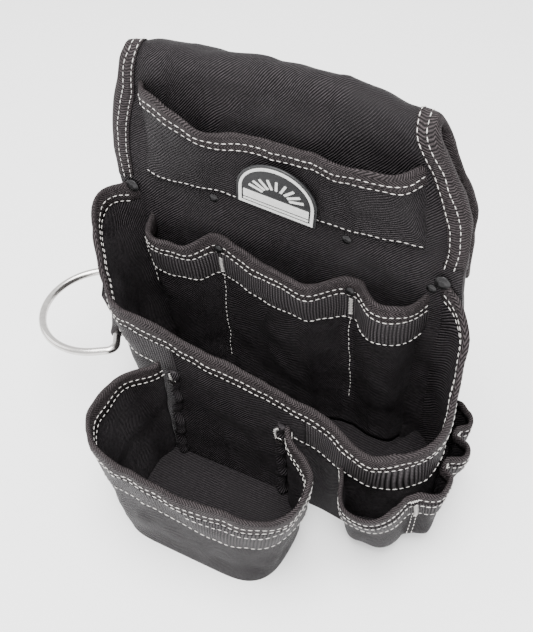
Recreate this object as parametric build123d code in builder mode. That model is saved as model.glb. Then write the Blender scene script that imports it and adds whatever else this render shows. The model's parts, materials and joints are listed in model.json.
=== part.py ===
from build123d import *
import os
from math import cos, radians, sin, tan

os.makedirs("parts", exist_ok=True)

# Electrician's belt pouch, in millimetres. X runs to the right seen from the front, Y to the
# back, which lies on the wearer's hip, and Z up. The origin is on the floor of the main pouch.

# ---- Cloth, tape and webbing ----
cloth = 2.4                # wall of a pouch or pocket, one lined ply of heavy nylon
tape = 1.0                 # binding tape, folded over an edge
tape_width = 14.0          # width of the tape on each face of an edge
webbing = 1.4              # ribbed webbing band
webbing_width = 23.0      # seen below the tape
ply_gap = 0.12             # air left between two plies that are sewn together
floor_board = 3.0          # stiff floor of a pouch

# ---- Back panel and belt tunnel ----
panel_face = 45.0          # front face of the panel
panel_ply = 5.0            # padded panel
panel_height = 314.0       # floor to the top of the roll
panel_foot_half = 113.0
panel_waist_half = 132.0
panel_waist_level = 120.0
panel_top_half = 106.0
shoulder_bow = 10.0        # the side edge bows out between the waist and the roll
tunnel_gap = 15.0          # front to back inside the belt tunnel
tunnel_foot = 212.0        # lowest point of the belt's room
hem_foot = 194.0           # the rear leg is sewn to the panel from here up to the tunnel

# ---- Main pouch ----
foot_front = -42.0         # front wall at the floor
mouth_front = -22.0        # front wall at the level of the mouth outline
mouth_level = 206.0
foot_left = 120.0
mouth_left = 160.0
foot_right = 146.0
mouth_right = 155.0
rim_back = 200.0           # rim at the back panel, left
rim_back_right = 195.0
rim_left = 141.0           # rim at the front left corner
rim_right = 101.0          # rim at the front right corner
side_wall_angle = 30.7     # the left wall runs this far from front to back

# ---- Front pouch ----
front_neck_left = 64.0     # where its sides are sewn to the main front wall
front_neck_right = 44.0
front_left = 90.0          # sides of the mouth
front_right = 84.0
front_foot_left = 68.0
front_foot_right = 62.0
front_mouth_reach = -127.0
front_foot_reach = -122.0
front_rim = 110.0          # its rim, left, and it drops to the right
front_rim_right = 94.0
welt_width = 9.0
welt_height = 4.0

# ---- Upper pocket, on the panel ----
upper_half = 99.0
upper_foot = 213.0
upper_rim_left = 290.0
upper_rim_middle = 270.0
upper_rim_right = 276.0
upper_bulge = 29.0         # how far the mouth stands off the panel, right
upper_bulge_left = 24.0
upper_flat = 10.5          # and between the two bulges
upper_hem = 12.0
badge_width = 59.0
badge_height = 43.0
badge_ply = 2.0
badge_centre = 1.0
badge_level = 213.5
badge_seat = 4.6           # back of the badge at its foot, ahead of the panel
badge_lean = 7.0
badge_turn = -8.0          # its foot drops to the right with the cloth

# ---- Inner tool pockets, on the panel ----
inner_half = 112.0
inner_foot = 40.0
inner_rim = 175.0
inner_bulge = 27.0
divider_left = -48.0
divider_right = 58.0

# ---- Side pockets, round the front right corner and the right wall ----
side_foot = 18.0
side_rim = 72.0
side_cloth = 1.6
side_tape_width = 8.0
side_band_width = 12.0
side_loop_depth = 14.0     # how far a tool loop stands off the wall
corner_depth = 36.0        # how far the corner pocket stands off the wall

# ---- Rivets ----
cap_radius = 5.5
cap_height = 2.4
shank_radius = 2.0
burr_radius = 4.5
burr_height = 1.0
small_cap_radius = 3.6
small_cap_height = 1.6
rivet_clearance = 0.1      # round a shank in its hole, and under a cap

# ---- Hammer ring ----
ring_wire = 6.35
ring_inside_width = 86.0
ring_inside_depth = 57.0
ring_level = 92.0
ring_along = 77.0          # middle of the bar, measured back along the left wall
ring_stand_off = 8.0       # wall to the middle of the bar
ring_corner = 7.0
keeper_along = 68.0
keeper_width = 38.0
keeper_ply = 1.8
keeper_clearance = 0.4
keeper_tail = 42.0

reach = 260.0              # longer than any piece, for cutting tools
behind = 60.0              # outlines run on past the panel face and are cut there


def outline(level, points, radii, grow):
    """Closed plan outline at a level, grown outwards by a distance."""
    with BuildSketch(Plane.XY.offset(level)) as plan:
        with BuildLine():
            FilletPolyline(*points, radius=[0, *radii, 0], close=True)
        make_face()
        if grow:
            offset(amount=grow, kind=Kind.INTERSECTION)
    return plan.sketch


def tapered_form(low, low_outline, high, high_outline, grow):
    """Solid ruled between two plan outlines, each a pair of points and corner radii."""
    low_face = outline(low, *low_outline, grow)
    high_face = outline(high, *high_outline, grow)
    with BuildPart() as form:
        loft([low_face.face(), high_face.face()], ruled=True)
    return form.part


def slab(low, high):
    """Level slab that reaches past every wall."""
    with BuildPart() as level_slab:
        with BuildSketch(Plane.XY.offset(low)):
            Rectangle(2 * reach, 2 * reach)
        extrude(amount=high - low)
    return level_slab.part


def behind_face(face_y):
    """Everything behind an upright face."""
    with BuildPart() as rear:
        with BuildSketch(Plane.XZ.offset(-face_y)):
            Rectangle(2 * reach, 4 * reach)
        extrude(amount=-reach)
    return rear.part


def above_profile(plane, length, points, radii, drop):
    """Everything above a profile drawn on an upright plane, lowered by a distance."""
    first, last = points[0], points[-1]
    with BuildPart() as region:
        with BuildSketch(plane):
            with BuildLine():
                FilletPolyline(*points, radius=radii)
                Polyline(last, (last[0], reach + 200), (first[0], reach + 200), first)
            make_face()
            if drop:
                offset(amount=drop, kind=Kind.INTERSECTION)
        extrude(amount=length)
    return region.part


def rivet(plane, cap, cap_depth, grip):
    """One rivet: a domed cap on the plane, a shank through the cloth and a burr behind."""
    with BuildPart() as fastener:
        with BuildSketch(plane.offset(rivet_clearance)):
            Circle(cap)
        extrude(amount=cap_depth)
        fillet(fastener.edges().filter_by(GeomType.CIRCLE).sort_by(
            lambda edge: plane.to_local_coords(edge.center()).Z)[-1], cap_depth * 0.6)
        with BuildSketch(plane.offset(rivet_clearance)):
            Circle(shank_radius)
        extrude(amount=-grip - 2 * rivet_clearance)
        with BuildSketch(plane.offset(-grip - rivet_clearance)):
            Circle(min(burr_radius, cap))
        extrude(amount=-burr_height)
    return fastener.part


def rivet_hole(plane, depth, radius=shank_radius + rivet_clearance):
    """Round cutter through the cloth on a rivet's axis."""
    with BuildPart() as hole:
        with BuildSketch(plane.offset(depth)):
            Circle(radius)
        extrude(amount=-2 * depth)
    return hole.part


def export(piece, name):
    piece.label = name
    export_step(piece, f"parts/{name}.step")
    return piece


# ======== Outlines of the main pouch ========
wall_run = tan(radians(side_wall_angle))
foot_cheek = 28.0
mouth_cheek = 33.0
foot_outline = ([(-100, behind), (-foot_left, foot_cheek),
                 (-foot_left + (foot_cheek - foot_front) * wall_run, foot_front),
                 (70, foot_front), (100, foot_front - 4), (foot_right - 12, foot_front + 6),
                 (foot_right, -12), (foot_right - 2, 26), (102, behind)],
                [8, 26, 40, 30, 20, 20, 14])
mouth_outline = ([(-92, behind), (-mouth_left, mouth_cheek),
                  (-mouth_left + (mouth_cheek - mouth_front) * wall_run, mouth_front),
                  (70, mouth_front), (112, mouth_front - 32), (mouth_right - 20, mouth_front - 12),
                  (mouth_right, mouth_front + 14), (mouth_right - 13, 34), (104, behind)],
                 [20, 36, 40, 24, 30, 26, 14])

left_profile = ([(-reach, rim_left), (mouth_front + 4, rim_left + 2), (24, rim_back - 7),
                 (behind, rim_back + 1)], [30, 30])
right_profile = ([(-reach, rim_right), (-28, rim_right), (8, rim_right + 22), (40, rim_back_right - 8),
                  (behind, rim_back_right + 2)], [20, 60, 14])
front_profile = ([(-reach, rim_left + 1), (-86, rim_left - 2), (95, rim_right + 2),
                  (reach, rim_right)], [50, 50])
left_end, right_start, front_start = -92.0, 100.0, -14.0


def main_form(grow):
    return tapered_form(0, foot_outline, mouth_level, mouth_outline, grow)


def front_rim_level(x):
    """Level of the main rim along the front wall."""
    (left_x, left_z), (right_x, right_z) = front_profile[0][1:3]
    return left_z + (right_z - left_z) * (x - left_x) / (right_x - left_x)


def above_main_rim(drop):
    """Everything above the main rim, lowered square to it by a distance."""
    left = above_profile(Plane.YZ.offset(-reach), reach + left_end, *left_profile, drop)
    right = above_profile(Plane.YZ.offset(right_start), reach - right_start, *right_profile, drop)
    front = above_profile(Plane.XZ.offset(-front_start), reach, *front_profile, drop)
    with BuildPart() as region:
        add(left)
        add(right)
        add(front)
    return region.part


main_outer = main_form(0)
main_inner = main_form(-cloth)
main_outer_skin = main_form(ply_gap)
main_inner_skin = main_form(-cloth - ply_gap)
main_tape_outer = main_form(ply_gap + tape)
main_tape_inner = main_form(-cloth - ply_gap - tape)
main_band_outer = main_form(ply_gap + webbing)
over_rim = above_main_rim(0)
over_rim_skin = above_main_rim(-ply_gap)
over_rim_tape = above_main_rim(-ply_gap - tape)
under_tape = above_main_rim(tape_width)
under_tape_gap = above_main_rim(tape_width + 2 * ply_gap)
under_band = above_main_rim(tape_width + webbing_width)
rear = behind_face(panel_face - ply_gap)

# Rim rivets pin the ends of the main rim to the panel, and a smaller one sits under the right.
rim_rivet_x = 121.0
rim_rivet_levels = [(-rim_rivet_x, rim_back - 3), (rim_rivet_x, rim_back_right - 2)]
small_rivet_x = rim_rivet_x - 8.0
small_rivet_level = inner_rim + 8.0
hem_ply = panel_ply * 2
rim_rivet_planes = [Plane(origin=(x, panel_face - tape - ply_gap, z), x_dir=(1, 0, 0), z_dir=(0, -1, 0))
                    for x, z in rim_rivet_levels]
small_rivet_plane = Plane(origin=(small_rivet_x, panel_face, small_rivet_level),
                          x_dir=(1, 0, 0), z_dir=(0, -1, 0))
cap_room = [rivet_hole(plane, 12, cap_radius + 1.5) for plane in rim_rivet_planes]

# ======== Walls that carry a seam or the ring, and the rivets' places ========
front_lean = (mouth_front - foot_front) / mouth_level
front_wall = Plane(origin=(0, foot_front, 0), x_dir=(1, 0, 0), z_dir=(0, -1, front_lean))
welt_inset = cloth + 2 * ply_gap + tape + welt_width / 2
welt_places = (welt_inset - front_neck_left, front_neck_right - welt_inset)
left_normal = Vector(-cos(radians(side_wall_angle)), -sin(radians(side_wall_angle)), 0)
left_along = Vector(-sin(radians(side_wall_angle)), cos(radians(side_wall_angle)), 0)
foot_distance = Vector(-foot_left, foot_cheek, 0).dot(left_normal)
mouth_distance = Vector(-mouth_left, mouth_cheek, 0).dot(left_normal)
wall_slope = (mouth_distance - foot_distance) / mouth_level
wall_distance = foot_distance + wall_slope * ring_level
bar_distance = wall_distance + ring_stand_off
bar_middle = left_normal * bar_distance + left_along * ring_along + Vector(0, 0, ring_level)

wall_lean = Vector(0, 0, -wall_slope)
skin_at = webbing + 3 * ply_gap - ring_stand_off
tail_ply = 2 * keeper_ply
neck_rivet_levels = (front_rim - tape_width - 6, front_rim_right - tape_width - 10)
neck_rivet_planes = [Plane(origin=front_wall.from_local_coords((x, level, ply_gap + welt_height)),
                           x_dir=front_wall.x_dir, z_dir=front_wall.z_dir)
                     for x, level in zip(welt_places, neck_rivet_levels)]
keeper_rivet_rise = 27.0
keeper_rivet_spread = 10.0
keeper_face = skin_at + tail_ply + wall_slope * keeper_rivet_rise
keeper_middle = bar_middle + left_along * (keeper_along - ring_along)
keeper_rivet_planes = [Plane(origin=keeper_middle + left_normal * keeper_face + left_along * spread
                             + Vector(0, 0, keeper_rivet_rise), x_dir=left_along,
                             z_dir=left_normal + wall_lean)
                       for spread in (-keeper_rivet_spread, keeper_rivet_spread)]
pleat = 6.0                # half width of the flat sewn down at a divider
pleat_face = panel_face - ply_gap - 2 * cloth
divider_rivet_y = pleat_face - 1 - 2 * ply_gap - tape
divider_rivet_level = inner_rim - tape_width / 2
divider_rivet_planes = [Plane(origin=(x, divider_rivet_y, divider_rivet_level), x_dir=(1, 0, 0),
                              z_dir=(0, -1, 0)) for x in (divider_left, divider_right)]
divider_grip = panel_face + panel_ply - divider_rivet_y
neck_holes = [rivet_hole(plane, 14) for plane in neck_rivet_planes]
keeper_holes = [rivet_hole(plane, 14) for plane in keeper_rivet_planes]
divider_holes = [rivet_hole(plane, 20) for plane in divider_rivet_planes]

# ======== Back panel with the belt tunnel ========
roll_outer = panel_ply + tunnel_gap / 2
roll_level = panel_height - roll_outer
panel_rear = panel_face + panel_ply
leg_face = panel_rear + tunnel_gap


def panel_silhouette(inset):
    """Front view of the panel's outline, brought in at the sides by a distance."""
    with BuildPart() as prism:
        with BuildSketch(Plane.XZ.offset(-panel_face + 40)):
            with BuildLine():
                foot_corner = (panel_foot_half - inset, -10)
                waist = (panel_waist_half - inset, panel_waist_level)
                shoulder = ((panel_waist_half + panel_top_half) / 2 + shoulder_bow - inset, 250)
                top_corner = (panel_top_half - inset, panel_height + 10)
                right_edge = Spline(foot_corner, waist, shoulder, top_corner)
                mirror(right_edge, about=Plane.YZ)
                Line(foot_corner, (-foot_corner[0], foot_corner[1]))
                Line(top_corner, (-top_corner[0], top_corner[1]))
            make_face()
        extrude(amount=-120)
    return prism.part


def rolled_sheet(outside):
    """The panel's side view, its front, roll and rear leg moved outwards by a distance."""
    with BuildPart() as sheet:
        with BuildSketch(Plane.YZ.offset(-reach / 2 - 20)):
            with Locations((panel_rear + tunnel_gap / 2, roll_level)):
                Circle(roll_outer + outside)
            with Locations((panel_rear + tunnel_gap / 2, roll_level / 2)):
                Rectangle(2 * (roll_outer + outside), roll_level)
        extrude(amount=reach + 40)
    return sheet.part


with BuildPart() as belt_room:
    with BuildSketch(Plane.YZ.offset(-reach)):
        with BuildLine():
            Line((panel_rear, tunnel_foot), (panel_rear, roll_level))
            ThreePointArc((panel_rear, roll_level),
                          (panel_rear + tunnel_gap / 2, roll_level + tunnel_gap / 2),
                          (leg_face, roll_level))
            Polyline((leg_face, roll_level), (leg_face, tunnel_foot + 8), (panel_rear, tunnel_foot))
        make_face()
    extrude(amount=2 * reach)

with BuildPart() as under_hem:
    with BuildSketch(Plane.YZ.offset(-reach)):
        with BuildLine():
            Polyline((panel_rear, -20), (panel_rear, hem_foot), (panel_rear + panel_ply, hem_foot),
                     (panel_rear + panel_ply, tunnel_foot - 4), (leg_face + panel_ply, tunnel_foot + 6),
                     (reach, tunnel_foot + 6), (reach, -20), close=True)
        make_face()
    extrude(amount=2 * reach)

seam_rivet_planes = [Plane(origin=(x, panel_face, upper_foot - 9), x_dir=(1, 0, 0), z_dir=(0, -1, 0))
                     for x in (-52, 52)]
panel_holes = [rivet_hole(plane, 30) for plane in (*rim_rivet_planes, small_rivet_plane)]
panel_holes += [rivet_hole(plane, 12) for plane in seam_rivet_planes]
panel_holes += divider_holes

with BuildPart() as back_panel:
    add(rolled_sheet(0))
    add(panel_silhouette(0), mode=Mode.INTERSECT)
    add(belt_room.part, mode=Mode.SUBTRACT)
    add(under_hem.part, mode=Mode.SUBTRACT)
    add(panel_holes, mode=Mode.SUBTRACT)
export(back_panel.part, "back_panel")

# Folded tape along each side edge, from the rim rivets over the roll.
binding_foot = rim_back + 4
side_strip = panel_silhouette(0) - panel_silhouette(tape_width)
with BuildPart() as panel_binding:
    add(rolled_sheet(ply_gap + tape))
    add(rolled_sheet(ply_gap), mode=Mode.SUBTRACT)
    add(side_strip, mode=Mode.INTERSECT)
    add(slab(-50, binding_foot), mode=Mode.SUBTRACT)
    add(cap_room, mode=Mode.SUBTRACT)
with BuildPart() as under_leg:
    with BuildSketch(Plane.YZ.offset(-reach)):
        with Locations((leg_face + 30, 0)):
            Rectangle(60, 2 * (tunnel_foot + 12))
    extrude(amount=2 * reach)
for name, side in (("panel_binding_left", Keep.BOTTOM), ("panel_binding_right", Keep.TOP)):
    with BuildPart() as binding_side:
        add(panel_binding.part)
        add(under_leg.part, mode=Mode.SUBTRACT)
        split(bisect_by=Plane.YZ, keep=side)
    export(binding_side.part, name)

# ======== Main pouch ========
with BuildPart() as main_pouch:
    add(main_outer)
    add(main_inner & slab(floor_board, reach), mode=Mode.SUBTRACT)
    add(over_rim, mode=Mode.SUBTRACT)
    add(rear, mode=Mode.SUBTRACT)
    add(cap_room + neck_holes + keeper_holes, mode=Mode.SUBTRACT)
export(main_pouch.part, "main_pouch")

main_wall_skin = (main_outer_skin - main_inner_skin) - over_rim_skin
with BuildPart() as main_rim_binding:
    add(main_tape_outer)
    add(main_tape_inner, mode=Mode.SUBTRACT)
    add(over_rim_tape, mode=Mode.SUBTRACT)
    add(under_tape, mode=Mode.INTERSECT)
    add(main_wall_skin, mode=Mode.SUBTRACT)
    add(rear, mode=Mode.SUBTRACT)
    add(cap_room, mode=Mode.SUBTRACT)
export(main_rim_binding.part, "main_rim_binding")

with BuildPart() as main_rim_webbing:
    add(main_band_outer)
    add(main_outer_skin, mode=Mode.SUBTRACT)
    add(under_tape_gap, mode=Mode.SUBTRACT)
    add(under_band, mode=Mode.INTERSECT)
    add(rear, mode=Mode.SUBTRACT)
    with BuildSketch(Plane.XY):
        with Locations(((front_neck_right - front_neck_left) / 2, mouth_front - 30)):
            Rectangle(front_neck_left + front_neck_right + 2 * (webbing + 3 * ply_gap), 60)
    extrude(amount=reach, mode=Mode.SUBTRACT)
    add(keeper_holes, mode=Mode.SUBTRACT)
export(main_rim_webbing.part, "main_rim_webbing")

rim_rivet_set = [rivet(plane, cap_radius, cap_height, tape + ply_gap + hem_ply)
                 for plane in rim_rivet_planes]
rim_rivet_set.append(rivet(small_rivet_plane, small_cap_radius, small_cap_height, panel_ply))
export(Compound(children=rim_rivet_set), "rim_rivets")


# ======== Front pouch, sewn to the main front wall at its two sides ========
front_mouth_level = front_rim + 14
neck_face = mouth_front - 18
front_mouth_outline = ([(-front_neck_left, -8), (-front_neck_left, neck_face - 3), (-front_left, neck_face - 14),
                        (-front_left + 4, front_mouth_reach), (front_right, front_mouth_reach + 6),
                        (front_right, neck_face - 28), (front_neck_right, neck_face - 5),
                        (front_neck_right, -8)],
                       [6, 16, 36, 30, 18, 7])
front_foot_outline = ([(-front_neck_left - 1, -8), (-front_neck_left - 1, foot_front - 5),
                       (-front_foot_left - 3, foot_front - 14), (-front_foot_left, front_foot_reach),
                       (front_foot_right, front_foot_reach), (front_foot_right + 2, foot_front - 18),
                       (front_neck_right + 1, foot_front - 5), (front_neck_right + 1, -8)],
                      [4, 4, 24, 24, 8, 5])
front_pouch_profile = ([(-reach, front_rim), (-front_left + 40, front_rim), (front_right - 50, front_rim_right),
                        (reach, front_rim_right)], [60, 60])


def front_form(grow):
    return tapered_form(0, front_foot_outline, front_mouth_level, front_mouth_outline, grow)


def above_front_rim(drop):
    """Everything above the front pouch's rim, lowered square to it by a distance."""
    return above_profile(Plane.XZ.offset(-10), reach, *front_pouch_profile, drop)


with BuildPart() as front_pouch:
    add(front_form(0))
    add(front_form(-cloth) & slab(floor_board, reach), mode=Mode.SUBTRACT)
    add(above_front_rim(0), mode=Mode.SUBTRACT)
    add(main_band_outer, mode=Mode.SUBTRACT)
export(front_pouch.part, "front_pouch")

front_wall_skin = (front_form(ply_gap) - front_form(-cloth - ply_gap)) - above_front_rim(-ply_gap)
main_band_skin = main_form(2 * ply_gap + webbing)
with BuildPart() as front_pouch_binding:
    add(front_form(ply_gap + tape))
    add(front_form(-cloth - ply_gap - tape), mode=Mode.SUBTRACT)
    add(above_front_rim(-ply_gap - tape), mode=Mode.SUBTRACT)
    add(above_front_rim(tape_width), mode=Mode.INTERSECT)
    add(front_wall_skin, mode=Mode.SUBTRACT)
    add(main_band_skin, mode=Mode.SUBTRACT)
export(front_pouch_binding.part, "front_pouch_binding")

with BuildPart() as front_pouch_webbing:
    add(front_form(ply_gap + webbing))
    add(front_form(ply_gap), mode=Mode.SUBTRACT)
    add(above_front_rim(tape_width + ply_gap), mode=Mode.SUBTRACT)
    add(above_front_rim(tape_width + webbing_width), mode=Mode.INTERSECT)
    add(main_band_skin, mode=Mode.SUBTRACT)
export(front_pouch_webbing.part, "front_pouch_webbing")

# Folded seams run down the main front wall just inside the front pouch's sides.
welt_foot = floor_board + 2.0
for name, welt_x in zip(("front_seam_welt_left", "front_seam_welt_right"), welt_places):
    welt_top = front_rim_level(welt_x + welt_width / 2) - tape_width - 3
    with BuildPart() as welt:
        with BuildSketch(front_wall.offset(ply_gap)):
            with Locations((welt_x, (welt_top + welt_foot) / 2)):
                Rectangle(welt_width, welt_top - welt_foot)
        extrude(amount=welt_height)
        fillet(welt.faces().sort_by(Axis.Y)[0].edges(), welt_height * 0.4)
        add(neck_holes, mode=Mode.SUBTRACT)
    export(welt.part, name)

# Bright rivets go through the seams and the main wall below the front pouch's rim.
neck_rivet_set = [rivet(plane, small_cap_radius, small_cap_height, welt_height + ply_gap + cloth)
                  for plane in neck_rivet_planes]
export(Compound(children=neck_rivet_set), "front_pouch_rivets")

# ======== Upper pocket, on the panel above the main pouch ========
upper_level = upper_rim_left + 12
flat_y = panel_face - ply_gap - cloth
upper_mouth_outline = ([(-upper_half - 5, behind), (-upper_half + 4, panel_face - 9),
                        (-50, panel_face - upper_bulge_left), (-28, panel_face - upper_flat),
                        (30, panel_face - upper_flat), (56, panel_face - upper_bulge),
                        (78, panel_face - upper_bulge + 2), (upper_half + 5, behind)],
                       [8, 12, 12, 14, 12, 12])
upper_foot_outline = ([(-upper_half - 5, behind), (-upper_half + 4, flat_y), (-50, flat_y - 1.5),
                       (-28, flat_y - 1), (30, flat_y - 1), (56, flat_y - 1.5), (upper_half - 4, flat_y),
                       (upper_half + 5, behind)], [8, 12, 12, 14, 12, 8])
upper_profile = ([(-reach, upper_rim_left + 2), (-82, upper_rim_left), (-36, upper_rim_middle),
                  (10, upper_rim_middle), (60, upper_rim_right - 1), (reach, upper_rim_right)],
                 [20, 30, 40, 60])


def upper_form(grow):
    return tapered_form(upper_foot, upper_foot_outline, upper_level, upper_mouth_outline, grow)


def above_upper_rim(drop):
    return above_profile(Plane.XZ.offset(-behind), reach, *upper_profile, drop)


with BuildPart() as upper_pocket:
    add(upper_form(0))
    add(upper_form(-cloth), mode=Mode.SUBTRACT)
    add(above_upper_rim(0), mode=Mode.SUBTRACT)
    add(rear, mode=Mode.SUBTRACT)
export(upper_pocket.part, "upper_pocket")

upper_wall_skin = (upper_form(ply_gap) - upper_form(-cloth - ply_gap)) - above_upper_rim(-ply_gap)
with BuildPart() as upper_pocket_binding:
    add(upper_form(ply_gap + tape))
    add(upper_form(-cloth - ply_gap - tape), mode=Mode.SUBTRACT)
    add(above_upper_rim(-ply_gap - tape), mode=Mode.SUBTRACT)
    add(above_upper_rim(upper_hem), mode=Mode.INTERSECT)
    add(upper_wall_skin, mode=Mode.SUBTRACT)
    add(rear, mode=Mode.SUBTRACT)
export(upper_pocket_binding.part, "upper_pocket_binding")

# Half oval badge on the seam under the pocket, leaning on the pocket's cloth.
badge_facing = Vector(0, -cos(radians(badge_lean)), -sin(radians(badge_lean)))
badge_foot_line = Vector(1, 0, 0).rotate(Axis((0, 0, 0), badge_facing), badge_turn)
badge_plane = Plane(origin=(badge_centre, panel_face - badge_seat, badge_level),
                    x_dir=badge_foot_line, z_dir=badge_facing)
badge_shoulder = badge_height * 0.35
with BuildPart() as name_badge:
    with BuildSketch(badge_plane):
        with Locations((0, badge_shoulder)):
            Ellipse(badge_width / 2, badge_height - badge_shoulder)
        with Locations((0, badge_shoulder / 2)):
            Rectangle(badge_width, badge_shoulder)
        with Locations((0, -badge_height)):
            Rectangle(badge_width * 2, badge_height * 2, mode=Mode.SUBTRACT)
    extrude(amount=badge_ply)
export(name_badge.part, "name_badge")

seam_rivet_set = [rivet(plane, small_cap_radius, small_cap_height, hem_ply)
                  for plane in seam_rivet_planes]
export(Compound(children=seam_rivet_set), "seam_rivets")

# ======== Inner tool pockets: one pleated sheet on the panel, three slots ========
inner_level = inner_rim + 12
slot_face = panel_face - inner_bulge
inner_mouth_outline = ([(-inner_half - 4, behind), (-inner_half + 8, slot_face),
                        (divider_left - 14, slot_face + 3), (divider_left - pleat, pleat_face),
                        (divider_left + pleat, pleat_face - 1), (2, slot_face + 4), (32, slot_face - 6),
                        (divider_right - pleat, pleat_face - 1), (divider_right + pleat, pleat_face),
                        (divider_right + 20, slot_face + 2), (inner_half - 10, slot_face + 2),
                        (inner_half + 4, behind)], [10, 9, 3, 3, 16, 9, 3, 3, 9, 10])
inner_foot_outline = ([(-inner_half + 2, behind), (-inner_half + 12, pleat_face - 5),
                       (divider_left - 16, pleat_face - 5), (divider_left - pleat, pleat_face),
                       (divider_left + pleat, pleat_face - 0.5), (2, pleat_face - 5), (32, pleat_face - 6),
                       (divider_right - pleat, pleat_face - 0.5), (divider_right + pleat, pleat_face),
                       (divider_right + 20, pleat_face - 5), (inner_half - 14, pleat_face - 5),
                       (inner_half - 2, behind)], [7, 8, 2, 2, 16, 8, 2, 2, 8, 7])


def inner_form(grow):
    return tapered_form(inner_foot, inner_foot_outline, inner_level, inner_mouth_outline, grow)


with BuildPart() as inner_pocket_row:
    add(inner_form(0))
    add(inner_form(-cloth), mode=Mode.SUBTRACT)
    add(slab(inner_rim, reach), mode=Mode.SUBTRACT)
    add(rear, mode=Mode.SUBTRACT)
    add(divider_holes, mode=Mode.SUBTRACT)
export(inner_pocket_row.part, "inner_pocket_row")

inner_wall_skin = (inner_form(ply_gap) - inner_form(-cloth - ply_gap)) & slab(0, inner_rim + ply_gap)
with BuildPart() as inner_row_binding:
    add(inner_form(ply_gap + tape))
    add(inner_form(-cloth - ply_gap - tape), mode=Mode.SUBTRACT)
    add(slab(inner_rim - tape_width, inner_rim + ply_gap + tape), mode=Mode.INTERSECT)
    add(inner_wall_skin, mode=Mode.SUBTRACT)
    add(rear, mode=Mode.SUBTRACT)
    add(divider_holes, mode=Mode.SUBTRACT)
export(inner_row_binding.part, "inner_row_binding")

divider_rivet_set = [rivet(plane, small_cap_radius, small_cap_height, divider_grip)
                     for plane in divider_rivet_planes]
export(Compound(children=divider_rivet_set), "inner_row_rivets")

with BuildPart() as inner_row_webbing:
    add(inner_form(ply_gap + webbing))
    add(inner_form(ply_gap), mode=Mode.SUBTRACT)
    add(slab(inner_rim - tape_width - webbing_width, inner_rim - tape_width - ply_gap),
        mode=Mode.INTERSECT)
    add(rear, mode=Mode.SUBTRACT)
export(inner_row_webbing.part, "inner_row_webbing")

# ======== Side pockets: one pleated sheet round the front right corner and the right wall ========
side_level = side_rim + 14
loop_face = foot_right + side_loop_depth
corner_face = foot_front - corner_depth
pin_x = foot_right + 8
side_mouth_outline = ([(70, 0), (88, foot_front - 4), (98, corner_face), (128, corner_face - 2),
                       (140, foot_front - 4), (pin_x - 8.5, foot_front + 1), (loop_face + 1, foot_front + 2),
                       (loop_face + 2, -17), (pin_x, -12), (pin_x, -3), (loop_face + 6, -1),
                       (loop_face + 6, 14), (pin_x, 17), (pin_x, 26), (loop_face + 3, 28),
                       (loop_face - 3, 40), (foot_right - 28, behind + 10)],
                      [3, 12, 12, 2, 2, 6, 6, 2, 2, 6, 6, 2, 2, 5, 5])
side_foot_outline = ([(70, 0), (90, foot_front - 4), (100, corner_face + 15), (128, corner_face + 15),
                      (137, foot_front - 1), (pin_x - 11, foot_front + 3), (loop_face - 7, foot_front + 6),
                      (loop_face - 6, -17), (pin_x - 3, -12), (pin_x - 3, -3), (loop_face - 3, -1),
                      (loop_face - 3, 13), (pin_x - 3, 17), (pin_x - 3, 26), (loop_face - 4, 28),
                      (loop_face - 8, 38), (foot_right - 30, behind + 10)],
                     [3, 12, 12, 2, 2, 6, 6, 2, 2, 5, 5, 2, 2, 4, 4])


def side_form(grow):
    return tapered_form(side_foot, side_foot_outline, side_level, side_mouth_outline, grow)


with BuildPart() as side_pocket_row:
    add(side_form(0))
    add(side_form(-side_cloth) & slab(side_foot + floor_board, reach), mode=Mode.SUBTRACT)
    add(slab(side_rim, reach), mode=Mode.SUBTRACT)
    add(main_band_outer, mode=Mode.SUBTRACT)
    add(rear, mode=Mode.SUBTRACT)
export(side_pocket_row.part, "side_pocket_row")

side_lining = side_form(-side_cloth)
side_wall_skin = (side_form(ply_gap) - side_lining) & slab(-10, side_rim + ply_gap)
with BuildPart() as side_pocket_binding:
    add(side_form(ply_gap + tape))
    add(side_lining, mode=Mode.SUBTRACT)
    add(slab(side_rim - side_tape_width, side_rim + ply_gap + tape), mode=Mode.INTERSECT)
    add(side_wall_skin, mode=Mode.SUBTRACT)
    add(main_band_skin, mode=Mode.SUBTRACT)
    add(rear, mode=Mode.SUBTRACT)
export(side_pocket_binding.part, "side_pocket_binding")

with BuildPart() as side_pocket_webbing:
    add(side_form(ply_gap + webbing))
    add(side_form(ply_gap), mode=Mode.SUBTRACT)
    add(slab(side_rim - side_tape_width - side_band_width, side_rim - side_tape_width - ply_gap),
        mode=Mode.INTERSECT)
    add(main_band_skin, mode=Mode.SUBTRACT)
    add(rear, mode=Mode.SUBTRACT)
export(side_pocket_webbing.part, "side_pocket_webbing")

# ======== Hammer ring on the left wall ========
ring_plane = Plane(origin=bar_middle, x_dir=left_along, z_dir=(0, 0, 1))
wire_radius = ring_wire / 2
arc_radius = (ring_inside_width + ring_wire) / 2
arm = ring_inside_depth + ring_wire - arc_radius
with BuildPart() as hammer_ring:
    with BuildLine(ring_plane) as ring_path:
        Line((0, 0), (arc_radius - ring_corner, 0))
        RadiusArc((arc_radius - ring_corner, 0), (arc_radius, ring_corner), -ring_corner)
        Line((arc_radius, ring_corner), (arc_radius, arm))
        ThreePointArc((arc_radius, arm), (0, arm + arc_radius), (-arc_radius, arm))
        Line((-arc_radius, arm), (-arc_radius, ring_corner))
        RadiusArc((-arc_radius, ring_corner), (-arc_radius + ring_corner, 0), -ring_corner)
        Line((-arc_radius + ring_corner, 0), (0, 0))
    with BuildSketch(Plane(origin=bar_middle, z_dir=left_along)):
        Circle(wire_radius)
    sweep(path=ring_path.wires()[0])
export(hammer_ring.part, "hammer_ring")

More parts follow.
